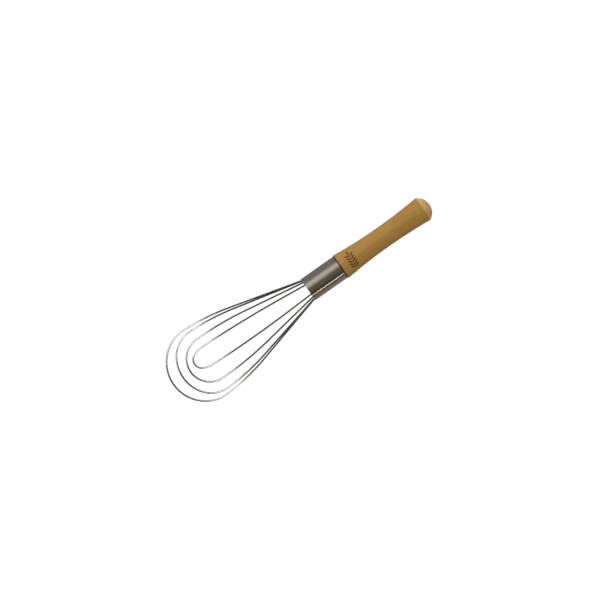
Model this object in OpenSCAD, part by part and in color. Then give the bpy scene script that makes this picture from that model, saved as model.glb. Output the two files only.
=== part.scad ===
// Flat whisk: four nested wire loops in one plane, held in a steel ferrule on a turned wooden handle.
// +X runs along the handle towards the butt, Y lies across the flat head, and +Z is square to the head.
// The origin is on the handle's axis, halfway between the head's tip and the butt's crown.

/* [Handle] */
// Length of the handle behind the ferrule, crown included
handle_length = 87.8; // [70:0.2:110]
// Radius the collar would have at the joint if its edge were not rounded
collar_r = 11.15; // [10.9:0.05:12]
// Rounding of the collar's front edge
collar_edge_r = 0.8; // [0.3:0.1:1.2]
// Smallest radius, at the waist
waist_r = 8.97; // [8:0.01:10]
// Distance of the waist behind the joint
waist_from_joint = 41.5; // [35:0.5:50]
// Radius at the crisp rim where the crown starts
rim_r = 10.7; // [10:0.05:11.5]
// Height of the domed crown behind the rim
crown_height = 6.3; // [4:0.1:8]
// Step between the rim and the crown's base
crown_step = 0.2; // [0.1:0.05:0.4]
// Length of the spigot inside the ferrule
spigot_length = 15.5; // [10:0.5:15.5]

/* [Ferrule] */
// Length of the steel tube
ferrule_length = 32; // [30:0.5:40]
// Outer diameter of the tube
ferrule_d = 20.8; // [20.4:0.1:21.5]
// Wall thickness of the tube
ferrule_wall = 0.5; // [0.4:0.05:0.5]
// Distance of the retaining pin ahead of the joint
pin_from_joint = 7; // [4:0.5:10]
// Diameter of the pin's shank
pin_d = 1.2; // [1:0.1:1.6]
// Length of the pin under its head
pin_length = 8; // [5:0.5:9]
// Diameter of the pin's head
pin_head_d = 2.4; // [2:0.1:3]
// Height of the pin's head above the tube
pin_head_height = 0.4; // [0.3:0.1:0.5]

/* [Inside the ferrule] */
// Depth of the resin's face behind the ferrule's mouth
seal_recess = 0.7; // [0.3:0.1:1]
// Depth of the back of the resin and the front of the spacer
seal_depth = 4.5; // [4:0.1:6]
// Depth of the back of the spacer, where the wires end
spacer_depth = 16; // [12:0.5:16]
// Gap between pieces that fit together
fit_gap = 0.05; // [0.02:0.01:0.1]

/* [Wires] */
// Diameter of the spring wire
wire_d = 1.4; // [1.2:0.05:1.5]
// Distance from the ferrule's mouth to the centre of the outer loop's tip
outer_reach = 132.6; // [120:0.1:150]
// The same for the second loop
second_reach = 123.1; // [110:0.1:140]
// The same for the third loop
third_reach = 115.5; // [100:0.1:130]
// The same for the inner loop
inner_reach = 109.4; // [95:0.1:125]

/* [Hidden] */
$fn = 96;
fine_fn = 1440;   // for arcs of several hundred millimetres
wire_sides = 12;  // of the prism that stands for the round wire
wire_sag = 0.02;  // how far the prism may cut inside a bend
eps = 0.01;

// Each loop, seen from above, is a chain of tangent arcs from its tip, then a straight leg:
// [reach, [[radius, sweep in degrees], ...], leg angle to the axis, height of its legs at the mouth,
//  sideways lean]. The sweeps add up to 90 degrees and the leg angle.
OUTER = [outer_reach, [[31.4, 66.1], [28.8, 26.5], [193, 12.2]], 14.8, 0.9, -0.1];
SECOND = [second_reach, [[30.1, 34.7], [23.9, 57], [197, 11.5]], 13.2, -0.9, -0.1];
THIRD = [third_reach, [[18.75, 89.4], [268, 9.8]], 9.2, 0, 0.1];
INNER = [inner_reach, [[7, 65.2], [20.8, 24.4], [973, 4.3]], 3.9, 0, 1.85];
LOOPS = [OUTER, SECOND, THIRD, INNER];

whole_length = outer_reach + wire_d / 2 + ferrule_length + handle_length;
tip_x = -whole_length / 2;                        // outermost point of the head
mouth_x = tip_x + wire_d / 2 + outer_reach;       // mouth of the ferrule
joint_x = mouth_x + ferrule_length;               // where the ferrule meets the handle
tail_x = mouth_x + spacer_depth - 1;              // blind end of every wire
bore_r = ferrule_d / 2 - ferrule_wall;
spigot_r = bore_r - fit_gap;
rim_from_joint = handle_length - crown_height;
crown_base_r = rim_r - crown_step;
crown_r = (pow(crown_base_r, 2) + pow(crown_height, 2)) / (2 * crown_height);
front_r = hollow_r(collar_r - waist_r, waist_from_joint);
back_r = hollow_r(rim_r - waist_r, rim_from_joint - waist_from_joint);

// Radius of an arc that starts square to the axis and has risen by rise after the distance run
function hollow_r(rise, run) = (run * run + rise * rise) / (2 * rise);

// Stands a profile drawn as [radius, distance along the axis] along +X from x
module turned(x) {
    translate([x, 0, 0]) rotate([0, 90, 0]) rotate_extrude() children();
}

// ---- Handle ----

// Half profile of the grip: a front and a back hollow that meet at the waist
module grip_profile() {
    difference() {
        square([collar_r, waist_from_joint]);
        translate([waist_r + front_r, waist_from_joint]) circle(r = front_r, $fn = fine_fn);
        collar_corner();
    }
    difference() {
        translate([0, waist_from_joint]) square([rim_r, rim_from_joint - waist_from_joint]);
        translate([waist_r + back_r, waist_from_joint]) circle(r = back_r, $fn = fine_fn);
    }
}

// What the rounded front edge takes off the collar
module collar_corner() {
    inner_r = collar_r - 0.1 - collar_edge_r;
    difference() {
        translate([inner_r, -eps]) square([collar_edge_r + 1, collar_edge_r + eps]);
        translate([inner_r, collar_edge_r]) circle(r = collar_edge_r);
    }
}

module crown_profile() {
    intersection() {
        translate([0, handle_length - crown_r]) circle(r = crown_r);
        translate([0, rim_from_joint - eps]) square([crown_base_r, crown_height + 1]);
    }
}

module handle() {
    color("burlywood")
    difference() {
        turned(joint_x) {
            grip_profile();
            crown_profile();
            translate([0, -spigot_length]) square([spigot_r, spigot_length + eps]);
        }
        pin_shank(pin_d + fit_gap);
    }
}

// ---- Ferrule and its pin ----

module ferrule() {
    color("silver")
    difference() {
        turned(mouth_x) translate([bore_r, 0]) square([ferrule_wall, ferrule_length]);
        pin_shank(pin_d + fit_gap);
    }
}

// Straight shank from the tube's outside into the spigot, on the -Z side
module pin_shank(d) {
    translate([joint_x - pin_from_joint, 0, -ferrule_d / 2 - eps])
        cylinder(d = d, h = pin_length + eps, $fn = 32);
}

module ferrule_pin() {
    cap_r = (pow(pin_head_d / 2, 2) + pow(pin_head_height, 2)) / (2 * pin_head_height);
    color("gainsboro") {
        pin_shank(pin_d);
        translate([joint_x - pin_from_joint, 0, -ferrule_d / 2])
            intersection() {
                translate([0, 0, cap_r - pin_head_height]) sphere(r = cap_r);
                translate([0, 0, -1]) cylinder(d = pin_head_d, h = 1);
            }
    }
}

// ---- Pieces that hold the wires ----

module wire_spacer() {
    color("sienna")
    difference() {
        turned(mouth_x + seal_depth) square([bore_r - fit_gap, spacer_depth - seal_depth]);
        for (loop = LOOPS)
            placed(loop) both_sides() tail_hole(loop, wire_d + 2 * fit_gap);
    }
}

module resin_seal() {
    color("dimgray")
    difference() {
        turned(mouth_x + seal_recess)
            square([bore_r - fit_gap / 2, seal_depth - seal_recess - fit_gap]);
        for (loop = LOOPS)
            placed(loop) both_sides() bend_hole(loop, wire_d + fit_gap);
    }
}

// ---- Wire loops ----

// A loop's route starts at its tip with the angle 0 and runs down its +Y side. At the angle a, outward
// is the side away from the loop's inside, and onward is the way to the handle.
function outward(a) = [-cos(a), sin(a)];
function onward(a) = [sin(a), cos(a)];

// A stretch is [radius, sweep] where the wire bends, or [0, length] where it is straight
function stretch_point(p, a, stretch) =
    stretch[0] == 0 ? p + stretch[1] * onward(a) :
    p + stretch[0] * (outward(a + stretch[1]) - outward(a));
function stretch_angle(a, stretch) = stretch[0] == 0 ? a : a + stretch[1];
function stretch_steps(stretch) =
    stretch[0] == 0 ? 1 :
    ceil(abs(stretch[1]) / (2 * acos(1 - wire_sag / abs(stretch[0]))));

// Points [x, y, angle] along the stretches from number n on, without the first
function points_along(p, a, stretches, n = 0) =
    n == len(stretches) ? [] :
    let (stretch = stretches[n], steps = stretch_steps(stretch))
    concat(
        [for (i = [1 : steps])
            let (part = [stretch[0], stretch[1] * i / steps], q = stretch_point(p, a, part))
            [q[0], q[1], stretch_angle(a, part)]],
        points_along(stretch_point(p, a, stretch), stretch_angle(a, stretch), stretches, n + 1)
    );

function tip_point(loop) = [mouth_x - loop[0], 0];
function last(list) = list[len(list) - 1];

// Where the arcs end and the straight leg starts, and where the leg meets the ferrule's mouth
function leg_start(loop) = last(points_along(tip_point(loop), 0, loop[1]));
function leg_length(loop) = (mouth_x - leg_start(loop)[0]) / cos(loop[2]);
function leg_foot(loop) =
    stretch_point([leg_start(loop)[0], leg_start(loop)[1]], 90 + loop[2], [0, leg_length(loop)]);

// Inside the resin each leg bends parallel to the axis: the bend's radius, centre and end
function bend_r(loop) = seal_depth / sin(loop[2]);
function bend_centre(loop) = leg_foot(loop) + bend_r(loop) * outward(90 + loop[2]);
function bend_end(loop) = bend_centre(loop) - bend_r(loop) * outward(90);

function half_route(loop) = points_along(tip_point(loop), 0, concat(loop[1], [
    [0, leg_length(loop)],
    [-bend_r(loop), -loop[2]],
    [0, tail_x - bend_end(loop)[0]]
]));

// The whole route, from the blind end on the -Y side, round the tip, to the one on the +Y side
function route(loop) =
    let (half = half_route(loop), n = len(half), tip = tip_point(loop))
    concat(
        [for (i = [n - 1 : -1 : 0]) [half[i][0], -half[i][1], -half[i][2]]],
        [[tip[0], tip[1], 0]],
        half
    );

// Round wire swept along a loop's route, as a prism with the round wire's own cross-section area
module wire_loop(loop) {
    way = route(loop);
    r = wire_d / 2 * sqrt(PI / (wire_sides / 2 * sin(360 / wire_sides)));
    rings = [for (q = way, i = [0 : wire_sides - 1])
        let (b = 360 * i / wire_sides, out = r * cos(b) * outward(q[2]))
        [q[0] + out[0], q[1] + out[1], r * sin(b)]];
    walls = [for (k = [0 : len(way) - 2], i = [0 : wire_sides - 1])
        let (j = (i + 1) % wire_sides, here = k * wire_sides, next = here + wire_sides)
        [here + i, next + i, next + j, here + j]];
    first_cap = [for (i = [0 : wire_sides - 1]) i];
    last_cap = [for (i = [wire_sides - 1 : -1 : 0]) (len(way) - 1) * wire_sides + i];
    placed(loop) polyhedron(points = rings, faces = concat(walls, [first_cap, last_cap]));
}

// Tilts a flat loop about its tip so that its legs reach their height at the mouth, and leans it
module placed(loop) {
    tip_x_here = tip_point(loop)[0];
    translate([mouth_x, 0, 0]) rotate([0, 0, -loop[4]])
        translate([-loop[0], 0, 0]) rotate([0, -atan(loop[3] / loop[0]), 0])
            translate([-tip_x_here, 0, 0]) children();
}

module both_sides() {
    children();
    mirror([0, 1, 0]) children();
}

// The round holes that the legs need: through the resin, where they bend, and behind it, where they don't
module bend_hole(loop, d) {
    c = bend_centre(loop);
    translate([c[0], c[1], 0]) rotate([0, 0, 270 - loop[2]])
        rotate_extrude(angle = loop[2] + 1, $fn = fine_fn)
            translate([bend_r(loop), 0]) circle(d = d, $fn = 24);
}

module tail_hole(loop, d) {
    c = bend_end(loop);
    translate([c[0] - 1, c[1], 0]) rotate([0, 90, 0]) cylinder(d = d, h = spacer_depth, $fn = 24);
}

module loop_outer() { color("slategray") wire_loop(OUTER); }
module loop_second() { color("lightslategray") wire_loop(SECOND); }
module loop_third() { color("darkgray") wire_loop(THIRD); }
module loop_inner() { color("gray") wire_loop(INNER); }

handle();
ferrule();
ferrule_pin();
wire_spacer();
resin_seal();
loop_outer();
loop_second();
loop_third();
loop_inner();
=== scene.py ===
"""Flat whisk: four nested loops of spring wire in a steel ferrule on a turned beech handle.

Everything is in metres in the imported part's own frame: +X runs along the handle to the butt, Y lies
across the flat head and +Z is square to it.
"""

import logging
import math
from collections.abc import Callable
from dataclasses import dataclass
from enum import Enum

import bmesh
import bpy
from mathutils import Matrix, Vector


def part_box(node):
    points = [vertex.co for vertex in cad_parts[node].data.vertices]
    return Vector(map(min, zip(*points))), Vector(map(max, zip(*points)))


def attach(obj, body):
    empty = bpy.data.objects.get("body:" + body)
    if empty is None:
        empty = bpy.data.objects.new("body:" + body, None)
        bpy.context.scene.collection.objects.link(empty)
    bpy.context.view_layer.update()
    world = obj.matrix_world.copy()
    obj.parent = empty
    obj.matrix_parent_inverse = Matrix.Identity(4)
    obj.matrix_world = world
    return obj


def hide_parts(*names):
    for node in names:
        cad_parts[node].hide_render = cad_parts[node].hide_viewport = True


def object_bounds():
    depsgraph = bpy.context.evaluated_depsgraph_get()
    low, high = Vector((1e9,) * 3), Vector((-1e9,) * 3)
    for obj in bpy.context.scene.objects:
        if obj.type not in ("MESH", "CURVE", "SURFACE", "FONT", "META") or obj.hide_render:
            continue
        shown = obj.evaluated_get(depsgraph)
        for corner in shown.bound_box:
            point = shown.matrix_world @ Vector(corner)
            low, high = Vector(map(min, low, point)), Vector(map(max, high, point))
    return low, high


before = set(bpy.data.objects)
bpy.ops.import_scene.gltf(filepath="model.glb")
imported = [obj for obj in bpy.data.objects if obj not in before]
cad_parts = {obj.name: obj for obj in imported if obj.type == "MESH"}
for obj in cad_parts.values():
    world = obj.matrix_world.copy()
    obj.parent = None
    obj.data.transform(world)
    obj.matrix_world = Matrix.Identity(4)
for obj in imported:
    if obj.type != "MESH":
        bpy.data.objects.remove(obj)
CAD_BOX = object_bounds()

LOG = logging.getLogger("flat_whisk")
MM = 0.001
MERGE_WITHIN = 0.002 * MM
FLOOR_GAP = 0.4 * MM
NO_JOINT_DARKENING = 1.0  # a place past the part's end, for steel that meets no wood


# ---- Bench: the edit-mode tools that every piece is shaped with ----


class Side(Enum):
    """Which way a profile's arc bulges, seen with the axis running to the right."""

    OUTWARD = 1
    HOLLOW = -1


class Pick(Enum):
    """What edit mode selects by."""

    POINTS = "VERT"
    EDGES = "EDGE"
    FACES = "FACE"


def bench_clear() -> None:
    """Leaves edit mode and deselects everything."""
    if bpy.context.object is not None and bpy.context.object.mode != "OBJECT":
        bpy.ops.object.mode_set(mode="OBJECT")
    bpy.ops.object.select_all(action="DESELECT")


def take_up(piece: bpy.types.Object) -> None:
    """Makes one piece the only selected and active object."""
    bench_clear()
    piece.select_set(True)
    bpy.context.view_layer.objects.active = piece


def edit_all(piece: bpy.types.Object, pick: Pick = Pick.POINTS) -> None:
    """Opens a piece in edit mode with its whole mesh selected.

    Args:
        piece: The piece to open.
        pick: What the tools then select by.
    """
    take_up(piece)
    bpy.ops.object.mode_set(mode="EDIT")
    bpy.ops.mesh.select_mode(type=pick.value)
    bpy.ops.mesh.select_all(action="SELECT")


def pick_edges(piece: bpy.types.Object, test: Callable[[Vector, Vector], bool]) -> None:
    """Selects, in edit mode, the edges whose two ends pass a test.

    Args:
        piece: The piece that is open in edit mode.
        test: Takes the two ends of an edge and says whether the edge is wanted.
    """
    bpy.ops.mesh.select_mode(type=Pick.EDGES.value)
    bpy.ops.mesh.select_all(action="DESELECT")
    mesh = bmesh.from_edit_mesh(piece.data)
    for edge in mesh.edges:
        edge.select_set(test(edge.verts[0].co, edge.verts[1].co))
    bmesh.update_edit_mesh(piece.data)


def close_up(piece: bpy.types.Object, smooth_below: float) -> None:
    """Merges doubled points, turns all faces outward and smooths the shading.

    Args:
        piece: The piece to finish.
        smooth_below: Edges that turn by less than this many degrees are shaded smooth.
    """
    edit_all(piece)
    bpy.ops.mesh.remove_doubles(threshold=MERGE_WITHIN)
    bpy.ops.mesh.normals_make_consistent(inside=False)
    bpy.ops.object.mode_set(mode="OBJECT")
    bpy.ops.object.shade_smooth_by_angle(angle=math.radians(smooth_below))


def settle(piece: bpy.types.Object, place: Matrix | None = None) -> None:
    """Puts a piece in its place and applies that place to its mesh.

    Args:
        piece: The piece to place.
        place: Where it goes, or None to keep it where it was modelled.
    """
    take_up(piece)
    if place is not None:
        piece.matrix_world = place @ piece.matrix_world
    bpy.ops.object.transform_apply(location=True, rotation=True, scale=True)


def finish_modifier(piece: bpy.types.Object, name: str) -> None:
    """Applies one modifier of a piece by name."""
    take_up(piece)
    bpy.ops.object.modifier_apply(modifier=name)


@dataclass
class Profile:
    """Half outline of a turned piece, as points (distance along the axis, radius)."""

    points: list[tuple[float, float]]

    def to(self, x: float, radius: float) -> "Profile":
        """Adds a straight run to (x, radius)."""
        self.points.append((x, radius))
        return self

    def arc(self, x: float, radius: float, arc_radius: float, side: Side, steps: int) -> "Profile":
        """Adds an arc to (x, radius).

        Args:
            x: Where the arc ends along the axis.
            radius: The outline's radius there.
            arc_radius: Radius of the arc itself.
            side: Whether it bulges outward or is a hollow.
            steps: How many straight facets it gets.

        Returns:
            The same profile.
        """
        start, end = Vector(self.points[-1]), Vector((x, radius))
        chord = end - start
        reach = math.sqrt(max(arc_radius**2 - (chord.length / 2) ** 2, 0.0))
        square = Vector((chord.y, -chord.x)).normalized() * side.value
        centre = (start + end) / 2 + square * reach
        spoke = start - centre
        turn = spoke.angle_signed(end - centre)
        for step in range(1, steps + 1):
            a = -turn * step / steps
            point = centre + Vector((spoke.x * math.cos(a) - spoke.y * math.sin(a),
                                     spoke.x * math.sin(a) + spoke.y * math.cos(a)))
            self.points.append((point.x, point.y))
        return self


def turn_on_lathe(name: str, profile: Profile, sides: int) -> bpy.types.Object:
    """Turns a profile round the X axis: a point is drawn out along it and then spun.

    Args:
        name: Name of the new piece.
        profile: The outline to turn.
        sides: Facets round the axis.

    Returns:
        The piece, with its place in its mesh.
    """
    bench_clear()
    x, radius = profile.points[0]
    bpy.ops.mesh.primitive_plane_add(size=MM, location=(x, 0, radius))
    piece = bpy.context.object
    piece.name = piece.data.name = name
    edit_all(piece)
    bpy.ops.mesh.merge(type="CENTER")
    for next_x, next_radius in profile.points[1:]:
        bpy.ops.mesh.extrude_vertices_move(
            TRANSFORM_OT_translate={"value": (next_x - x, 0, next_radius - radius)})
        x, radius = next_x, next_radius
    bpy.ops.mesh.select_all(action="SELECT")
    bpy.ops.mesh.spin(steps=sides, angle=math.tau, center=(0, 0, 0), axis=(1, 0, 0),
                      use_auto_merge=True)
    settle(piece)
    return piece


# ---- Shader graphs ----

Feed = float | tuple | bpy.types.NodeSocket


class Graph:
    """Adds and joins shader nodes in one node tree."""

    def __init__(self, tree: bpy.types.NodeTree) -> None:
        """Takes the tree to build in."""
        self.tree = tree

    def node(self, kind: str, feeds: dict[str | int, Feed] | None = None,
             **settings: object) -> bpy.types.Node:
        """Adds a node.

        Args:
            kind: Node type, such as ShaderNodeTexNoise.
            feeds: Values or sockets for its inputs, by name or number.
            settings: The node's own options.

        Returns:
            The new node.
        """
        made = self.tree.nodes.new(kind)
        for key, value in settings.items():
            setattr(made, key, value)
        for key, value in (feeds or {}).items():
            self.feed(made.inputs[key], value)
        return made

    def feed(self, socket: bpy.types.NodeSocket, value: Feed) -> None:
        """Links a socket to an input, or sets the input's own value."""
        if isinstance(value, bpy.types.NodeSocket):
            self.tree.links.new(value, socket)
        else:
            socket.default_value = value

    def maths(self, operation: str, first: Feed, second: Feed = 0.0, third: Feed = 0.0) -> Feed:
        """Adds a maths node and returns its output."""
        return self.node("ShaderNodeMath", {0: first, 1: second, 2: third},
                         operation=operation).outputs[0]

    def ramp(self, value: Feed, low: float, high: float, to_low: float = 0.0,
             to_high: float = 1.0) -> Feed:
        """Maps a value smoothly from low..high to to_low..to_high and holds it beyond them."""
        made = self.node("ShaderNodeMapRange",
                         {"Value": value, "From Min": low, "From Max": high,
                          "To Min": to_low, "To Max": to_high},
                         interpolation_type="SMOOTHSTEP")
        return made.outputs["Result"]

    def blend(self, amount: Feed, first: Feed, second: Feed) -> Feed:
        """Mixes two colours and returns the mix."""
        made = self.node("ShaderNodeMix", data_type="RGBA")
        self.feed(made.inputs["Factor"], amount)
        colours = [s for s in made.inputs if s.type == "RGBA"]
        self.feed(colours[0], first)
        self.feed(colours[1], second)
        return next(s for s in made.outputs if s.type == "RGBA")

    def scaled(self, vector: Feed, scale: tuple[float, float, float],
               shift: tuple[float, float, float] = (0.0, 0.0, 0.0)) -> Feed:
        """Stretches and shifts a vector and returns it."""
        return self.node("ShaderNodeMapping", {"Vector": vector, "Location": shift,
                                               "Scale": scale}).outputs[0]

    def noise(self, vector: Feed, scale: float, detail: float = 2.0, rough: float = 0.5) -> Feed:
        """Adds a noise texture and returns its value."""
        return self.node("ShaderNodeTexNoise",
                         {"Vector": vector, "Scale": scale, "Detail": detail,
                          "Roughness": rough}).outputs[0]


def new_group(name: str, inputs: list[tuple[str, str, Feed]],
              outputs: list[str]) -> tuple[Graph, bpy.types.Node, bpy.types.Node]:
    """Starts a shader node group.

    Args:
        name: Name of the group.
        inputs: (name, socket type, default) of each input.
        outputs: Names of its value outputs.

    Returns:
        The group's graph, its input node and its output node.
    """
    tree = bpy.data.node_groups.new(name, "ShaderNodeTree")
    for label, kind, default in inputs:
        socket = tree.interface.new_socket(name=label, in_out="INPUT", socket_type=kind)
        if kind == "NodeSocketFloat":
            socket.default_value = default
    for label in outputs:
        tree.interface.new_socket(name=label, in_out="OUTPUT", socket_type="NodeSocketFloat")
    graph = Graph(tree)
    return graph, graph.node("NodeGroupInput"), graph.node("NodeGroupOutput")


def group_drawn_lines() -> bpy.types.NodeTree:
    """Fine parallel lines that a die or a polishing belt leaves: they are thin where the vector is
    stretched. Outputs their height and a broader streak."""
    graph, given, out = new_group(
        "drawn_lines", [("Vector", "NodeSocketVector", 0.0), ("Scale", "NodeSocketFloat", 1.0)],
        ["Lines", "Streaks"])
    for label, factor, detail in (("Lines", 1.0, 4.0), ("Streaks", 0.17, 2.0)):
        scale = graph.maths("MULTIPLY", given.outputs["Scale"], factor)
        value = graph.noise(given.outputs["Vector"], 1.0, detail, 0.6)
        graph.feed(value.node.inputs["Scale"], scale)
        graph.feed(out.inputs[label], graph.ramp(value, 0.3, 0.7))
    return graph.tree


def group_handling() -> bpy.types.NodeTree:
    """Marks of use: soft smudges where the piece was held and small worn or dirty specks."""
    graph, given, out = new_group(
        "handling", [("Vector", "NodeSocketVector", 0.0), ("Smudge Scale", "NodeSocketFloat", 90.0),
                     ("Speck Scale", "NodeSocketFloat", 900.0)],
        ["Smudge", "Speck"])
    smudge = graph.noise(given.outputs["Vector"], 90.0, 3.0, 0.55)
    graph.feed(smudge.node.inputs["Scale"], given.outputs["Smudge Scale"])
    speck = graph.noise(given.outputs["Vector"], 900.0, 1.0, 0.4)
    graph.feed(speck.node.inputs["Scale"], given.outputs["Speck Scale"])
    graph.feed(out.inputs["Smudge"], graph.ramp(smudge, 0.35, 0.68))
    graph.feed(out.inputs["Speck"], graph.ramp(speck, 0.66, 0.74))
    return graph.tree


def group_beech_figure() -> bpy.types.NodeTree:
    """Beech cut along the X axis: rings, fibre, ray flecks and slow changes of tone."""
    graph, given, out = new_group(
        "beech_figure", [("Vector", "NodeSocketVector", 0.0)],
        ["Rings", "Fibre", "Flecks", "Tone"])
    place = given.outputs["Vector"]
    heart_y, heart_z, ring_pitch, sway_by = -38 * MM, -52 * MM, 2.3 * MM, 5.5 * MM
    sway = graph.noise(graph.scaled(place, (9.0, 45.0, 45.0)), 1.0, 2.0)
    apart = graph.node("ShaderNodeSeparateXYZ", {0: place})
    across = graph.maths("ADD", apart.outputs["Y"], -heart_y)
    below = graph.maths("ADD", apart.outputs["Z"], -heart_z)
    radius = graph.maths("SQRT", graph.maths("ADD", graph.maths("MULTIPLY", across, across),
                                             graph.maths("MULTIPLY", below, below)))
    swayed = graph.maths("MULTIPLY_ADD", sway, sway_by, radius)
    wave = graph.maths("SINE", graph.maths("MULTIPLY", swayed, math.tau / ring_pitch))
    graph.feed(out.inputs["Rings"], graph.ramp(wave, -0.7, 1.0))
    fibre = graph.noise(graph.scaled(place, (70.0, 1700.0, 1700.0)), 1.0, 4.0, 0.6)
    graph.feed(out.inputs["Fibre"], graph.ramp(fibre, 0.3, 0.7))
    cells = graph.node("ShaderNodeTexVoronoi",
                       {"Vector": graph.scaled(place, (420.0, 2600.0, 2600.0)), "Scale": 1.0})
    chance = graph.node("ShaderNodeSeparateColor", {0: cells.outputs["Color"]}).outputs[0]
    lens = graph.ramp(cells.outputs["Distance"], 0.38, 0.16)
    graph.feed(out.inputs["Flecks"],
               graph.maths("MULTIPLY", lens, graph.ramp(chance, 0.45, 0.75)))
    tone = graph.noise(graph.scaled(place, (16.0, 60.0, 60.0)), 1.0, 2.0)
    graph.feed(out.inputs["Tone"], graph.ramp(tone, 0.3, 0.7))
    return graph.tree


def group_burned_sprig() -> bpy.types.NodeTree:
    """A plain leafy sprig burned into the wood, with its stem along Y and its leaves in pairs. The
    vector is centred on the sprig."""
    graph, given, out = new_group(
        "burned_sprig", [("Vector", "NodeSocketVector", 0.0)], ["Mask"])
    pairs, pitch, lean = 5, 2.35 * MM, math.radians(57)
    half_long, half_wide, off_stem = 2.05 * MM, 0.72 * MM, 2.0 * MM
    stem_foot, tip_out = 0.9 * MM, 0.9 * MM
    apart = graph.node("ShaderNodeSeparateXYZ", {0: given.outputs["Vector"]})
    along = graph.maths("ADD", apart.outputs["Y"], 7.0 * MM)
    aside = graph.maths("ABSOLUTE", apart.outputs["X"])
    in_pair = graph.maths("SUBTRACT", graph.maths("FLOORED_MODULO", along, pitch), pitch / 2)
    rise = graph.maths("SUBTRACT", aside, off_stem)

    def leaf(u: Feed, v: Feed, angle: float) -> Feed:
        """Mask of one leaf from its centre's coordinates and its lean."""
        c, s = math.cos(angle), math.sin(angle)
        lengthwise = graph.maths("ADD", graph.maths("MULTIPLY", u, c / half_long),
                                 graph.maths("MULTIPLY", v, s / half_long))
        crosswise = graph.maths("SUBTRACT", graph.maths("MULTIPLY", v, c / half_wide),
                                graph.maths("MULTIPLY", u, s / half_wide))
        far = graph.maths("ADD", graph.maths("POWER", graph.maths("ABSOLUTE", lengthwise), 1.6),
                          graph.maths("MULTIPLY", crosswise, crosswise))
        return graph.ramp(far, 1.12, 0.88)

    leaves = leaf(in_pair, rise, lean)
    before_end = graph.maths("LESS_THAN", along, pairs * pitch)
    after_start = graph.maths("GREATER_THAN", along, 0.0)
    leaves = graph.maths("MULTIPLY", leaves, graph.maths("MULTIPLY", before_end, after_start))
    tip = leaf(graph.maths("SUBTRACT", along, pairs * pitch + tip_out), aside, 0.0)
    stem_width = graph.ramp(aside, 0.24 * MM, 0.14 * MM)
    stem_start = graph.maths("GREATER_THAN", along, -stem_foot)
    stem = graph.maths("MULTIPLY", stem_width, graph.maths("MULTIPLY", before_end, stem_start))
    drawn = graph.maths("MAXIMUM", leaves, graph.maths("MAXIMUM", tip, stem))
    upper = graph.ramp(apart.outputs["Z"], 1.0 * MM, 3.0 * MM)
    graph.feed(out.inputs["Mask"], graph.maths("MULTIPLY", drawn, upper))
    return graph.tree


@dataclass(frozen=True)
class ShaderKit:
    """The node groups that the finishes share."""

    lines: bpy.types.NodeTree
    handling: bpy.types.NodeTree
    figure: bpy.types.NodeTree
    sprig: bpy.types.NodeTree


def make_shader_kit() -> ShaderKit:
    """Builds every shared node group once."""
    return ShaderKit(group_drawn_lines(), group_handling(), group_beech_figure(),
                     group_burned_sprig())


def start_material(name: str) -> tuple[bpy.types.Material, Graph, bpy.types.Node, Feed]:
    """Starts a material.

    Args:
        name: Name of the material.

    Returns:
        The material, its graph, its Principled node and the object coordinates.
    """
    material = bpy.data.materials.new(name)
    material.use_nodes = True
    graph = Graph(material.node_tree)
    surface = material.node_tree.nodes["Principled BSDF"]
    return material, graph, surface, graph.node("ShaderNodeTexCoord").outputs["Object"]


def use_group(graph: Graph, tree: bpy.types.NodeTree, feeds: dict[str, Feed]) -> bpy.types.Node:
    """Places a shared group in a material with its own values."""
    made = graph.node("ShaderNodeGroup", node_tree=tree)
    for key, value in feeds.items():
        graph.feed(made.inputs[key], value)
    return made


def raise_surface(graph: Graph, surface: bpy.types.Node, height: Feed, strength: float,
                  distance: float) -> None:
    """Feeds a height through a bump node to the surface's normal."""
    bump = graph.node("ShaderNodeBump", {"Height": height, "Strength": strength,
                                         "Distance": distance})
    graph.feed(surface.inputs["Normal"], bump.outputs["Normal"])


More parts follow.
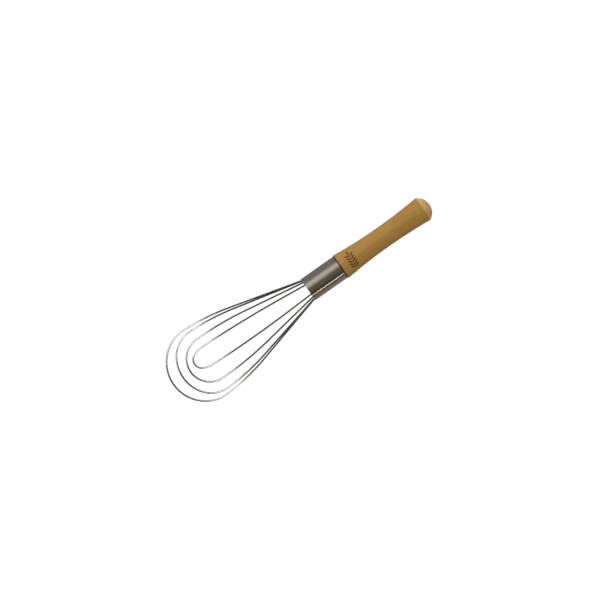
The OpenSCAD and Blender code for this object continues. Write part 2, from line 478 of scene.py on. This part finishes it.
@dataclass(frozen=True)
class LacqueredBeech:
    """Turned beech under a thin satin lacquer, with a bare domed end and a burned sprig."""

    joint_x: float
    rim_x: float
    sprig_x: float
    light: tuple = (0.475, 0.267, 0.060, 1.0)
    dark: tuple = (0.405, 0.218, 0.044, 1.0)
    fleck: tuple = (0.29, 0.145, 0.03, 1.0)
    end_light: tuple = (0.82, 0.52, 0.225, 1.0)
    end_dark: tuple = (0.75, 0.46, 0.185, 1.0)
    # painted shade: the end grain's colour on its -Y side, away from the key light
    end_shaded_side: tuple = (0.60, 0.335, 0.095, 1.0)
    # the joint's dark band: grime, and painted shade for the gap at the ferrule
    joint_grime_and_shade: tuple = (0.075, 0.040, 0.014, 1.0)
    burn: tuple = (0.125, 0.046, 0.012, 1.0)

    def make(self, kit: ShaderKit) -> bpy.types.Material:
        """Builds the material.

        Args:
            kit: The shared node groups.

        Returns:
            The material.
        """
        material, graph, surface, place = start_material("lacquered_beech")
        figure = use_group(graph, kit.figure, {"Vector": place})
        marks = use_group(graph, kit.handling,
                          {"Vector": place, "Smudge Scale": 110.0, "Speck Scale": 1300.0})
        apart = graph.node("ShaderNodeSeparateXYZ", {0: place})
        x, y = apart.outputs["X"], apart.outputs["Y"]

        shade = graph.maths("MULTIPLY_ADD", figure.outputs["Rings"], 0.36,
                            graph.maths("MULTIPLY", figure.outputs["Fibre"], 0.24))
        shade = graph.maths("MULTIPLY_ADD", figure.outputs["Tone"], 0.34, shade)
        long_grain = graph.blend(shade, self.light, self.dark)
        long_grain = graph.blend(graph.maths("MULTIPLY", figure.outputs["Flecks"], 0.3),
                                 long_grain, self.fleck)
        pores = graph.noise(graph.scaled(place, (500.0, 2400.0, 2400.0)), 1.0, 2.0)
        end_shade = graph.maths("MULTIPLY_ADD", figure.outputs["Rings"], 0.7,
                                graph.maths("MULTIPLY", pores, 0.2))
        end_grain = graph.blend(end_shade, self.end_light, self.end_dark)
        # Painted shade: the domed end turns darker and more orange towards -Y, the side that the key
        # light leaves in shade.
        shaded_side = graph.ramp(y, 5.0 * MM, -8.0 * MM, 0.0, 0.75)
        end_grain = graph.blend(shaded_side, end_grain, self.end_shaded_side)
        past_rim = graph.ramp(x, self.rim_x - 0.05 * MM, self.rim_x + 0.15 * MM)
        colour = graph.blend(past_rim, long_grain, end_grain)
        # Wear and painted highlight: a narrow band either side of the rim is lightened towards the
        # light end-grain colour, standing in for the sheen on the rim's edge as well as rubbed wood.
        off_rim = graph.maths("ABSOLUTE", graph.maths("SUBTRACT", x, self.rim_x - 0.05 * MM))
        rim_wear_and_highlight = graph.ramp(off_rim, 0.55 * MM, 0.2 * MM)
        colour = graph.blend(graph.maths("MULTIPLY", rim_wear_and_highlight, 0.7), colour, self.end_light)

        # Grime and painted shade: the wood's first millimetre or so at the ferrule goes nearly black
        # brown, standing in for the shadow in the gap at the joint as well as dirt.
        seat_grime_and_shade = graph.ramp(x, self.joint_x + 1.35 * MM, self.joint_x + 0.35 * MM)
        colour = graph.blend(graph.maths("MULTIPLY", seat_grime_and_shade, 0.85), colour, self.joint_grime_and_shade)
        uneven = graph.noise(place, 1500.0, 3.0)
        mark = use_group(graph, kit.sprig,
                         {"Vector": graph.scaled(place, (1.0, 1.0, 1.0), (-self.sprig_x, 0, 0))})
        burned = graph.maths("MULTIPLY", mark.outputs["Mask"],
                             graph.ramp(uneven, 0.2, 0.5, 0.6, 0.95))
        colour = graph.blend(burned, colour, self.burn)
        held = graph.maths("MULTIPLY", marks.outputs["Smudge"], 0.12)
        colour = graph.blend(held, colour, self.dark)
        graph.feed(surface.inputs["Base Color"], colour)

        rough = graph.maths("MULTIPLY_ADD", marks.outputs["Smudge"], 0.08, 0.44)
        rough = graph.maths("MULTIPLY_ADD", past_rim, 0.12, rough)
        rough = graph.maths("MULTIPLY_ADD", burned, 0.2, rough)
        graph.feed(surface.inputs["Roughness"], rough)
        coat = graph.maths("MULTIPLY_ADD", past_rim, -0.1, 0.14)
        graph.feed(surface.inputs["Coat Weight"], graph.maths("MULTIPLY_ADD", burned, -0.1, coat))
        surface.inputs["Coat Roughness"].default_value = 0.45
        surface.inputs["Specular IOR Level"].default_value = 0.3

        turning = graph.noise(graph.scaled(place, (3200.0, 60.0, 60.0)), 1.0, 2.0)
        height = graph.maths("MULTIPLY_ADD", figure.outputs["Fibre"], 0.35,
                             graph.maths("MULTIPLY", turning, 0.25))
        height = graph.maths("MULTIPLY_ADD", figure.outputs["Flecks"], -0.25, height)
        height = graph.maths("MULTIPLY", height, graph.maths("MULTIPLY_ADD", past_rim, -0.7, 1.0))
        height = graph.maths("MULTIPLY_ADD", burned, -1.4, height)
        raise_surface(graph, surface, height, 0.3, 0.015 * MM)
        return material


@dataclass(frozen=True)
class DrawnSteel:
    """Bright stainless steel with fine parallel lines.

    The lines lie across the direction in which line_scale is large. Where the piece meets wood,
    its last millimetre before that end is painted brown: partly a stain, partly painted shade for the
    gap at the joint.
    """

    name: str
    base: tuple
    shadow: tuple
    roughness: float
    line_scale: tuple[float, float, float]
    line_depth: float
    darkened_end: float = NO_JOINT_DARKENING
    # brown for the end at the wood: a stain, and painted shade in the joint's gap
    joint_stain_and_shade: tuple = (0.14, 0.105, 0.075, 1.0)

    def make(self, kit: ShaderKit) -> bpy.types.Material:
        """Builds the material.

        Args:
            kit: The shared node groups.

        Returns:
            The material.
        """
        material, graph, surface, place = start_material(self.name)
        lines = use_group(graph, kit.lines, {"Vector": graph.scaled(place, self.line_scale)})
        marks = use_group(graph, kit.handling, {"Vector": place, "Smudge Scale": 140.0,
                                                "Speck Scale": 2200.0})
        dull = graph.maths("MULTIPLY_ADD", marks.outputs["Smudge"], 0.35,
                           graph.maths("MULTIPLY", lines.outputs["Streaks"], 0.3))
        dull = graph.maths("MAXIMUM", dull, graph.maths("MULTIPLY", marks.outputs["Speck"], 0.7))
        colour = graph.blend(dull, self.base, self.shadow)
        x = graph.node("ShaderNodeSeparateXYZ", {0: place}).outputs["X"]
        # Stain and painted shade: the steel's last millimetre where it meets the wood turns brown,
        # standing in for the shadow in the gap at the joint as well as a stain.
        stain_and_shade_mask = graph.ramp(x, self.darkened_end - 1.15 * MM, self.darkened_end - 0.3 * MM, 0.0, 0.8)
        graph.feed(surface.inputs["Base Color"], graph.blend(stain_and_shade_mask, colour, self.joint_stain_and_shade))
        rough = graph.maths("MULTIPLY_ADD", lines.outputs["Lines"], 0.02, self.roughness - 0.02)
        rough = graph.maths("MULTIPLY_ADD", marks.outputs["Smudge"], 0.05, rough)
        graph.feed(surface.inputs["Roughness"], rough)
        surface.inputs["Metallic"].default_value = 1.0
        raise_surface(graph, surface, lines.outputs["Lines"], 0.35, self.line_depth)
        return material


@dataclass(frozen=True)
class CastResin:
    """Hard filled resin poured round the wires, slightly cloudy and full of pinhole bubbles."""

    body: tuple = (0.30, 0.25, 0.19, 1.0)
    cloud: tuple = (0.20, 0.165, 0.125, 1.0)
    pit: tuple = (0.07, 0.055, 0.04, 1.0)

    def make(self, kit: ShaderKit) -> bpy.types.Material:
        """Builds the material.

        Args:
            kit: The shared node groups.

        Returns:
            The material.
        """
        material, graph, surface, place = start_material("cast_resin")
        marks = use_group(graph, kit.handling, {"Vector": place, "Smudge Scale": 420.0,
                                                "Speck Scale": 2600.0})
        colour = graph.blend(marks.outputs["Smudge"], self.body, self.cloud)
        colour = graph.blend(graph.maths("MULTIPLY", marks.outputs["Speck"], 0.8), colour, self.pit)
        graph.feed(surface.inputs["Base Color"], colour)
        graph.feed(surface.inputs["Roughness"],
                   graph.maths("MULTIPLY_ADD", marks.outputs["Smudge"], 0.18, 0.22))
        surface.inputs["Coat Weight"].default_value = 0.3
        surface.inputs["Coat Roughness"].default_value = 0.12
        height = graph.maths("MULTIPLY_ADD", marks.outputs["Speck"], -1.0, marks.outputs["Smudge"])
        raise_surface(graph, surface, height, 0.4, 0.08 * MM)
        return material


@dataclass(frozen=True)
class MouldedPlastic:
    """Natural moulded plastic with a fine spark-eroded texture and faint flow lines."""

    body: tuple = (0.62, 0.56, 0.44, 1.0)
    flow: tuple = (0.50, 0.44, 0.33, 1.0)

    def make(self, kit: ShaderKit) -> bpy.types.Material:
        """Builds the material.

        Args:
            kit: The shared node groups.

        Returns:
            The material.
        """
        material, graph, surface, place = start_material("moulded_plastic")
        marks = use_group(graph, kit.handling, {"Vector": place, "Smudge Scale": 260.0,
                                                "Speck Scale": 3000.0})
        colour = graph.blend(graph.maths("MULTIPLY", marks.outputs["Smudge"], 0.6),
                             self.body, self.flow)
        graph.feed(surface.inputs["Base Color"], colour)
        graph.feed(surface.inputs["Roughness"],
                   graph.maths("MULTIPLY_ADD", marks.outputs["Speck"], 0.15, 0.5))
        texture = graph.noise(place, 5200.0, 2.0)
        raise_surface(graph, surface, texture, 0.3, 0.03 * MM)
        return material


def dress(piece: bpy.types.Object, material: bpy.types.Material) -> None:
    """Gives a piece one material and nothing else."""
    piece.data.materials.clear()
    piece.data.materials.append(material)


def hand_over(piece: bpy.types.Object, node: str) -> None:
    """Lets a finished piece ride on the part and stand for its CAD node.

    Args:
        piece: The finished piece.
        node: The CAD node that it replaces.
    """
    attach(piece, "root")
    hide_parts(node)
    LOG.info("%s: %d points, %d faces, stands for %s", piece.name, len(piece.data.vertices),
             len(piece.data.polygons), node)


# ---- Handle ----


@dataclass
class Handle:
    """The turned grip: spigot, rounded collar, waist, crisp rim and domed crown."""

    joint_x: float
    butt_x: float
    spigot_length: float = 15.5 * MM
    spigot_radius: float = 9.85 * MM
    spigot_chamfer: float = 0.6 * MM
    collar_radius: float = 11.05 * MM
    collar_edge: float = 0.8 * MM
    hollow_start: float = 2.2 * MM
    waist_from_joint: float = 41.5 * MM
    waist_radius: float = 8.97 * MM
    front_hollow: float = 396.1 * MM
    back_hollow: float = 463.3 * MM
    rim_radius: float = 10.7 * MM
    rim_edge: float = 0.18 * MM
    crown_height: float = 6.3 * MM
    crown_base: float = 10.5 * MM
    sprig_from_joint: float = 10.6 * MM
    sides: int = 160

    @property
    def rim_x(self) -> float:
        """Where the crisp rim lies."""
        return self.butt_x - self.crown_height

    def build(self) -> bpy.types.Object:
        """Turns the handle on the lathe.

        Returns:
            The finished handle.
        """
        x = self.joint_x
        waist_x = x + self.waist_from_joint
        edge, soft, chamfer = self.collar_edge, self.rim_edge, self.spigot_chamfer
        crown_radius = (self.crown_base**2 + self.crown_height**2) / (2 * self.crown_height)
        rise = self.front_hollow - math.sqrt(
            self.front_hollow**2 - (self.waist_from_joint - self.hollow_start) ** 2)
        back = self.rim_x - soft - waist_x
        back_rise = self.back_hollow - math.sqrt(self.back_hollow**2 - back**2)
        outline = (
            Profile([(x - self.spigot_length, 0.0)])
            .to(x - self.spigot_length, self.spigot_radius - chamfer)
            .to(x - self.spigot_length + chamfer, self.spigot_radius)
            .to(x, self.spigot_radius)
            .to(x, self.collar_radius - edge)
            .arc(x + edge, self.collar_radius, edge, Side.OUTWARD, 8)
            .to(x + self.hollow_start, self.waist_radius + rise)
            .arc(waist_x, self.waist_radius, self.front_hollow, Side.HOLLOW, 22)
            .arc(self.rim_x - soft, self.waist_radius + back_rise, self.back_hollow,
                 Side.HOLLOW, 22)
            .arc(self.rim_x, self.rim_radius - soft, soft, Side.OUTWARD, 4)
            .to(self.rim_x + 0.02 * MM, self.crown_base)
            .arc(self.butt_x, 0.0, crown_radius, Side.OUTWARD, 24)
        )
        handle = turn_on_lathe("beech_handle", outline, self.sides)
        close_up(handle, 38)
        return handle


# ---- Ferrule and pin ----


@dataclass
class Ferrule:
    """The drawn steel tube with softened ends, and the pin that holds it to the spigot."""

    mouth_x: float
    joint_x: float
    outer_radius: float = 10.4 * MM
    wall: float = 0.5 * MM
    lip: float = 0.19 * MM
    bands: int = 8
    pin_from_joint: float = 7.0 * MM
    pin_head_radius: float = 1.2 * MM
    pin_head_height: float = 0.4 * MM
    pin_radius: float = 0.6 * MM
    pin_length: float = 8.0 * MM
    sides: int = 160

    def build_tube(self) -> bpy.types.Object:
        """Makes the tube: a bare pipe, given its wall, then its rounded lips.

        Returns:
            The tube.
        """
        bench_clear()
        length = self.joint_x - self.mouth_x
        bpy.ops.mesh.primitive_cylinder_add(
            vertices=self.sides, radius=self.outer_radius, depth=length, end_fill_type="NOTHING",
            location=(self.mouth_x + length / 2, 0, 0), rotation=(0, math.pi / 2, 0))
        tube = bpy.context.object
        tube.name = tube.data.name = "ferrule_tube"
        settle(tube)
        edit_all(tube)
        for band in range(1, self.bands):
            bpy.ops.mesh.select_all(action="SELECT")
            bpy.ops.mesh.bisect(plane_co=(self.mouth_x + length * band / self.bands, 0, 0),
                                plane_no=(1, 0, 0))
        bpy.ops.mesh.select_all(action="SELECT")
        bpy.ops.mesh.normals_make_consistent(inside=False)
        bpy.ops.object.mode_set(mode="OBJECT")
        shell = tube.modifiers.new("wall", "SOLIDIFY")
        shell.thickness = self.wall
        shell.offset = -1.0
        shell.use_even_offset = True
        shell.use_rim = True
        finish_modifier(tube, "wall")
        edit_all(tube)
        ends = (self.mouth_x, self.joint_x)
        pick_edges(tube, lambda a, b: any(abs(a.x - e) < 1e-6 and abs(b.x - e) < 1e-6 for e in ends)
                   and abs(a.yz.length - b.yz.length) < 1e-5)
        bpy.ops.mesh.bevel(offset=self.lip, offset_type="OFFSET", segments=4, profile=0.5,
                           affect="EDGES")
        close_up(tube, 40)
        return tube

    def build_pin(self) -> bpy.types.Object:
        """Turns the pin with its low domed head and stands it in the tube's -Z side.

        Returns:
            The pin.
        """
        height, radius = self.pin_head_height, self.pin_head_radius
        dome = (radius**2 + height**2) / (2 * height)
        outline = (
            Profile([(-height, 0.0)])
            .arc(-0.06 * MM, radius - 0.03 * MM, dome, Side.OUTWARD, 10)
            .to(0.0, radius - 0.02 * MM)
            .to(0.0, self.pin_radius)
            .to(self.pin_length - 0.3 * MM, self.pin_radius)
            .to(self.pin_length, self.pin_radius - 0.25 * MM)
            .to(self.pin_length, 0.0)
        )
        pin = turn_on_lathe("ferrule_pin_head", outline, 40)
        place = Matrix.Translation((self.joint_x - self.pin_from_joint, 0, -self.outer_radius))
        settle(pin, place @ Matrix.Rotation(-math.pi / 2, 4, "Y"))
        close_up(pin, 35)
        return pin


# ---- Wire loops ----


@dataclass
class WireLoop:
    """One loop of spring wire: a chain of bends from the tip, a straight leg, and a hidden tail.

    The bends are (radius in mm, sweep in degrees). All of them lie in one flat plane, which is then
    tilted about the tip and leaned sideways.
    """

    name: str
    node: str
    reach: float
    bends: list[tuple[float, float]]
    leg_angle: float
    leg_height: float
    lean: float
    wire_radius: float = 0.7 * MM
    seal_depth: float = 4.5 * MM
    tail_depth: float = 15.0 * MM
    facet: float = 1.6 * MM
    leg_steps: int = 12
    sides: int = 20

    def bend(self, centre: Vector, sweep: float, arc_radius: float) -> None:
        """Bends the wire's open end round a centre.

        Args:
            centre: The bend's centre.
            sweep: Degrees, positive towards the handle's side.
            arc_radius: Radius of the wire's centre line.
        """
        steps = max(6, math.ceil(arc_radius * math.radians(abs(sweep)) / self.facet))
        bpy.ops.mesh.spin(steps=steps, angle=math.radians(sweep), center=centre, axis=(0, 0, 1))

    def run(self, way: Vector, steps: int) -> None:
        """Draws the wire's open end out straight in a few steps."""
        for _ in range(steps):
            bpy.ops.mesh.extrude_edges_move(TRANSFORM_OT_translate={"value": way / steps})

    def build(self, mouth_x: float) -> bpy.types.Object:
        """Forms one half of the loop from its tip, mirrors it and tilts it into place.

        Args:
            mouth_x: Where the ferrule's mouth is.

        Returns:
            The loop.
        """
        def outward(angle: float) -> Vector:
            """Direction away from the loop's inside where the route has turned by an angle."""
            a = math.radians(angle)
            return Vector((-math.cos(a), math.sin(a), 0))

        bench_clear()
        end = Vector((mouth_x - self.reach, 0, 0))
        bpy.ops.mesh.primitive_circle_add(vertices=self.sides, radius=self.wire_radius,
                                          location=end, rotation=(math.pi / 2, 0, 0))
        wire = bpy.context.object
        wire.name = wire.data.name = self.name
        edit_all(wire, Pick.EDGES)
        turned = 0.0
        for radius_mm, sweep in self.bends:
            radius = radius_mm * MM
            centre = end - radius * outward(turned)
            self.bend(centre, sweep, radius)
            turned += sweep
            end = centre + radius * outward(turned)
        slope = math.radians(self.leg_angle)
        leg = Vector((mouth_x - end.x, -(mouth_x - end.x) * math.tan(slope), 0))
        self.run(leg, self.leg_steps)
        end = end + leg
        inner_radius = self.seal_depth / math.sin(slope)
        centre = end + inner_radius * outward(90 + self.leg_angle)
        self.bend(centre, -self.leg_angle, inner_radius)
        end = centre - inner_radius * outward(90)
        self.run(Vector((mouth_x + self.tail_depth - end.x, 0, 0)), 2)
        bpy.ops.mesh.edge_face_add()
        settle(wire)
        mirror = wire.modifiers.new("other_half", "MIRROR")
        mirror.use_axis = (False, True, False)
        mirror.merge_threshold = 0.005 * MM
        finish_modifier(wire, "other_half")
        tilt = -math.atan(self.leg_height / self.reach)
        settle(wire, Matrix.Translation((mouth_x, 0, 0))
               @ Matrix.Rotation(math.radians(-self.lean), 4, "Z")
               @ Matrix.Translation((-self.reach, 0, 0))
               @ Matrix.Rotation(tilt, 4, "Y")
               @ Matrix.Translation((self.reach - mouth_x, 0, 0)))
        close_up(wire, 50)
        return wire


@dataclass
class WireHead:
    """The flat head of nested loops, and the resin that seals them in the ferrule."""

    mouth_x: float
    seal_recess: float = 0.7 * MM
    seal_back: float = 4.45 * MM
    seal_radius: float = 9.875 * MM
    climb: float = 0.42 * MM
    climb_fade: float = 0.38 * MM
    rings: int = 42
    sides: int = 160

    def loops(self) -> list[WireLoop]:
        """Lists the four loops, the outermost first."""
        return [
            WireLoop("outer_wire", "loop_outer", 132.6 * MM,
                     [(31.4, 66.1), (28.8, 26.5), (193.0, 12.2)], 14.8, 0.9 * MM, -0.1),
            WireLoop("second_wire", "loop_second", 123.1 * MM,
                     [(30.1, 34.7), (23.9, 57.0), (197.0, 11.5)], 13.2, -0.9 * MM, -0.1),
            WireLoop("third_wire", "loop_third", 115.5 * MM,
                     [(18.75, 89.4), (268.0, 9.8)], 9.2, 0.0, 0.1),
            WireLoop("inner_wire", "loop_inner", 109.4 * MM,
                     [(7.0, 65.2), (20.8, 24.4), (973.0, 4.3)], 3.9, 0.0, 1.85),
        ]

    def wires_at(self, wires: list[bpy.types.Object], x: float) -> list[Vector]:
        """Finds where the wires pass a plane square to the axis.

        Args:
            wires: The finished loops.
            x: The plane's place.

        Returns:
            The centre of every crossing, as (x, y, z).
        """
        found = []
        for wire in wires:
            for side in (1, -1):
                near = [v.co for v in wire.data.vertices
                        if abs(v.co.x - x) < 0.45 * MM and v.co.y * side > 0]
                if near:
                    found.append(sum(near, Vector()) / len(near))
        return found

    def build_seal(self, wires: list[bpy.types.Object]) -> bpy.types.Object:
        """Pours the resin: a plug whose face climbs a little at the tube's wall and at each wire.

        Args:
            wires: The finished loops.

        Returns:
            The plug.
        """
        bench_clear()
        front, back = self.mouth_x + self.seal_recess, self.mouth_x + self.seal_back
        bpy.ops.mesh.primitive_circle_add(
            vertices=self.sides, radius=self.seal_radius, fill_type="NGON",
            location=(front + self.climb, 0, 0), rotation=(0, -math.pi / 2, 0))
        plug = bpy.context.object
        plug.name = plug.data.name = "resin_plug"
        settle(plug)
        edit_all(plug, Pick.FACES)
        for _ in range(self.rings):
            bpy.ops.mesh.inset(thickness=self.seal_radius / (self.rings + 1.5),
                               use_even_offset=True)
        bpy.ops.mesh.poke()
        pick_edges(plug, lambda a, b: a.yz.length > self.seal_radius - 1e-6
                   and b.yz.length > self.seal_radius - 1e-6)
        bpy.ops.mesh.extrude_edges_move(
            TRANSFORM_OT_translate={"value": (back - front - self.climb, 0, 0)})
        bpy.ops.mesh.edge_face_add()
        bpy.ops.object.mode_set(mode="OBJECT")
        crossings = self.wires_at(wires, front)
        group = plug.vertex_groups.new(name="climbs")
        for point in plug.data.vertices:
            if point.co.x > front + self.climb + 1e-6:
                continue
            gaps = [self.seal_radius - point.co.yz.length]
            gaps += [max((point.co.yz - crossing.yz).length - WireLoop.wire_radius, 0.0)
                     for crossing in crossings]
            weight = math.exp(-min(gaps) / self.climb_fade)
            group.add([point.index], weight, "REPLACE")
        climb = plug.modifiers.new("climb", "DISPLACE")
        climb.direction = "X"
        climb.mid_level = 0.0
        climb.strength = -self.climb
        climb.vertex_group = "climbs"
        finish_modifier(plug, "climb")
        close_up(plug, 60)
        return plug


# ---- Studio ----


@dataclass
class Studio:
    """Camera, lights, pale floor and surroundings."""

    floor_z: float
    aim_x: float = -3.25 * MM
    aim_y: float = -3.02 * MM
    camera_height: float = 1.94
    camera_turn: float = -35.09
    lens: float = 144.3
    panel_back: float = -80.5 * MM
    panel_aside: float = 75 * MM
    panel_height: float = 60 * MM
    panel_width: float = 130 * MM
    panel_spread: float = 122.0
    panel_power: float = 1.74
    panel_tint: tuple = (0.862, 0.915, 1.0)
    # The room's light (degrees from straight above towards +Y, red, green, blue).
    room: tuple = (
        (-90, 0.10, 0.085, 0.085), (-78, 0.065, 0.053, 0.05), (-49, 0.058, 0.045, 0.034),
        (-39, 0.130, 0.112, 0.088), (-21, 0.170, 0.150, 0.122), (-3, 0.180, 0.162, 0.135),
        (6, 0.28, 0.258, 0.228), (15, 0.590, 0.56, 0.54), (33, 0.840, 0.822, 0.81),
        (42, 0.85, 0.84, 0.83), (52, 0.64, 0.63, 0.62), (62, 0.40, 0.39, 0.38),
        (74, 0.29, 0.28, 0.27), (90, 0.28, 0.27, 0.26),
    )

    def build_camera(self) -> None:
        """Hangs the camera square above the flat head, so that the handle points up right."""
        bpy.ops.object.camera_add(location=(self.aim_x, self.aim_y, self.camera_height),
                                  rotation=(0, 0, math.radians(self.camera_turn)))
        camera = bpy.context.object
        camera.name = "camera"
        camera.data.lens = self.lens
        camera.data.sensor_width = 36.0
        camera.data.clip_end = 50.0
        bpy.context.scene.camera = camera

    def softbox(self, name: str, angle: float, distance: float, size: tuple[float, float],
                power: float, mirrored: bool) -> None:
        """Hangs a softbox whose long side runs along the handle and points it at the part.

        Args:
            name: Name of the light.
            angle: Degrees from straight above, positive towards +Y.
            distance: How far it hangs from the origin.
            size: Its length along X and its width.
            power: Its power in watts.
            mirrored: Whether the steel shows it as a highlight.
        """
        a = math.radians(angle)
        bpy.ops.object.light_add(type="AREA", location=(0, distance * math.sin(a),
                                                        distance * math.cos(a)),
                                 rotation=(-a, 0, 0))
        light = bpy.context.object
        light.name = name
        light.data.shape = "RECTANGLE"
        light.data.size, light.data.size_y = size
        light.data.energy = power
        light.data.color = (1.0, 0.985, 0.96)
        light.visible_camera = False
        light.visible_glossy = mirrored

    def head_panel(self, side: int, tip_edge: float) -> None:
        """Hangs a panel low over one half of the flat head: the long runs of wire mirror it along
        their tops, and the tips, which lie below the gap between the two panels, stay dark.

        Args:
            side: 1 for the +Y half and -1 for the -Y half.
            tip_edge: Place along X of the edge that lies nearer the tips.
        """
        length = self.panel_back - tip_edge
        bpy.ops.object.light_add(type="AREA",
                                 location=(tip_edge + length / 2, side * self.panel_aside,
                                           self.panel_height))
        panel = bpy.context.object
        panel.name = "head_panel"
        panel.data.shape = "RECTANGLE"
        panel.data.size, panel.data.size_y = length, self.panel_width
        panel.data.energy = self.panel_power * length
        panel.data.color = self.panel_tint
        panel.data.spread = math.radians(self.panel_spread)
        panel.visible_camera = False
        panel.visible_diffuse = False

    def build_floor(self) -> None:
        """Lays a wide white sheet under the part. The camera sees it plain white, and the steel
        mirrors it as a soft grey."""
        bench_clear()
        bpy.ops.mesh.primitive_plane_add(size=12.0, location=(0, 0, self.floor_z))
        floor = bpy.context.object
        floor.name = "floor"
        material = bpy.data.materials.new("white_sheet")
        material.use_nodes = True
        graph = Graph(material.node_tree)
        material.node_tree.nodes.remove(material.node_tree.nodes["Principled BSDF"])
        rays = graph.node("ShaderNodeLightPath")
        lit = graph.node("ShaderNodeBsdfDiffuse", {"Color": (0.8, 0.8, 0.8, 1.0)})
        mirrored = graph.node("ShaderNodeEmission", {"Color": (0.28, 0.27, 0.262, 1.0)})
        seen = graph.node("ShaderNodeEmission", {"Color": (1.0, 1.0, 1.0, 1.0), "Strength": 1.05})
        grey = graph.node("ShaderNodeMixShader", {0: rays.outputs["Is Glossy Ray"],
                                                  1: lit.outputs[0], 2: mirrored.outputs[0]})
        white = graph.node("ShaderNodeMixShader", {0: rays.outputs["Is Camera Ray"],
                                                   1: grey.outputs[0], 2: seen.outputs[0]})
        out = material.node_tree.nodes["Material Output"]
        graph.feed(out.inputs["Surface"], white.outputs[0])
        dress(floor, material)

    def build_surroundings(self) -> None:
        """Fills the room with soft grey light that is darker towards -Y, white to the camera."""
        world = bpy.data.worlds.new("room")
        bpy.context.scene.world = world
        world.use_nodes = True
        graph = Graph(world.node_tree)
        rays = graph.node("ShaderNodeLightPath")
        way = graph.node("ShaderNodeTexCoord").outputs["Generated"]
        apart = graph.node("ShaderNodeSeparateXYZ", {0: way})
        angle = graph.maths("ARCTAN2", apart.outputs["Y"], apart.outputs["Z"])
        around = graph.maths("MULTIPLY_ADD", angle, 1 / math.pi, 0.5)
        ramp = graph.node("ShaderNodeValToRGB", {0: around})
        ramp.color_ramp.interpolation = "EASE"
        stops = ramp.color_ramp.elements
        while len(stops) < len(self.room):
            stops.new(0.5)
        for stop, (degrees, red, green, blue) in zip(stops, self.room):
            stop.position = degrees / 180 + 0.5
            stop.color = (red, green, blue, 1.0)
        grey = ramp.outputs[0]
        colour = graph.blend(rays.outputs["Is Camera Ray"], grey, (1.05, 1.05, 1.05, 1.0))
        background = world.node_tree.nodes["Background"]
        graph.feed(background.inputs["Color"], colour)

    def build(self) -> None:
        """Sets up the whole studio."""
        self.build_camera()
        self.build_floor()
        self.build_surroundings()
        self.softbox("key_softbox", 24, 1.6, (1.4, 1.0), 9.8, False)
        self.softbox("left_fill", 74, 1.5, (1.2, 0.6), 3.8, False)
        self.softbox("right_fill", -74, 1.5, (1.2, 0.6), 3.9, False)
        self.softbox("edge_strip", -67.3, 1.5, (1.9, 0.11), 1.95, True)
        for side, tip_edge in ((1, -128.5 * MM), (-1, -114.0 * MM)):
            self.head_panel(side, tip_edge)
        settings = bpy.context.scene.view_settings
        settings.view_transform = "Standard"
        settings.look = "None"


def main() -> None:
    """Builds the whisk piece by piece, dresses it and sets up the studio."""
    logging.basicConfig(level=logging.INFO, format="%(name)s: %(message)s")
    mouth_x, joint_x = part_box("ferrule")[0].x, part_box("ferrule")[1].x
    butt_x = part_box("handle")[1].x
    kit = make_shader_kit()

    handle = Handle(joint_x, butt_x)
    beech = LacqueredBeech(joint_x, handle.rim_x, joint_x + handle.sprig_from_joint)
    grip = handle.build()
    dress(grip, beech.make(kit))
    hand_over(grip, "handle")

    ferrule = Ferrule(mouth_x, joint_x)
    tube = ferrule.build_tube()
    dress(tube, DrawnSteel("polished_tube", (0.52, 0.49, 0.42, 1.0), (0.46, 0.43, 0.36, 1.0),
                           0.16, (5200.0, 130.0, 130.0), 0.0004 * MM, joint_x).make(kit))
    hand_over(tube, "ferrule")
    pin = ferrule.build_pin()
    dress(pin, DrawnSteel("pin_steel", (0.52, 0.50, 0.46, 1.0), (0.40, 0.38, 0.34, 1.0),
                          0.28, (1500.0, 1500.0, 1500.0), 0.002 * MM).make(kit))
    hand_over(pin, "ferrule_pin")

    head = WireHead(mouth_x)
    spring_steel = DrawnSteel("spring_steel", (0.23, 0.216, 0.192, 1.0), (0.165, 0.153, 0.136, 1.0),
                              0.16, (90.0, 90.0, 9000.0), 0.0008 * MM).make(kit)
    wires = []
    for loop in head.loops():
        wire = loop.build(mouth_x)
        dress(wire, spring_steel)
        hand_over(wire, loop.node)
        wires.append(wire)
    plug = head.build_seal(wires)
    dress(plug, CastResin().make(kit))
    hand_over(plug, "resin_seal")
    dress(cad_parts["wire_spacer"], MouldedPlastic().make(kit))
    LOG.info("wire_spacer: kept as it is, in moulded plastic")

    Studio(CAD_BOX[0][2] - FLOOR_GAP).build()


if __name__ == "__main__":
    main()
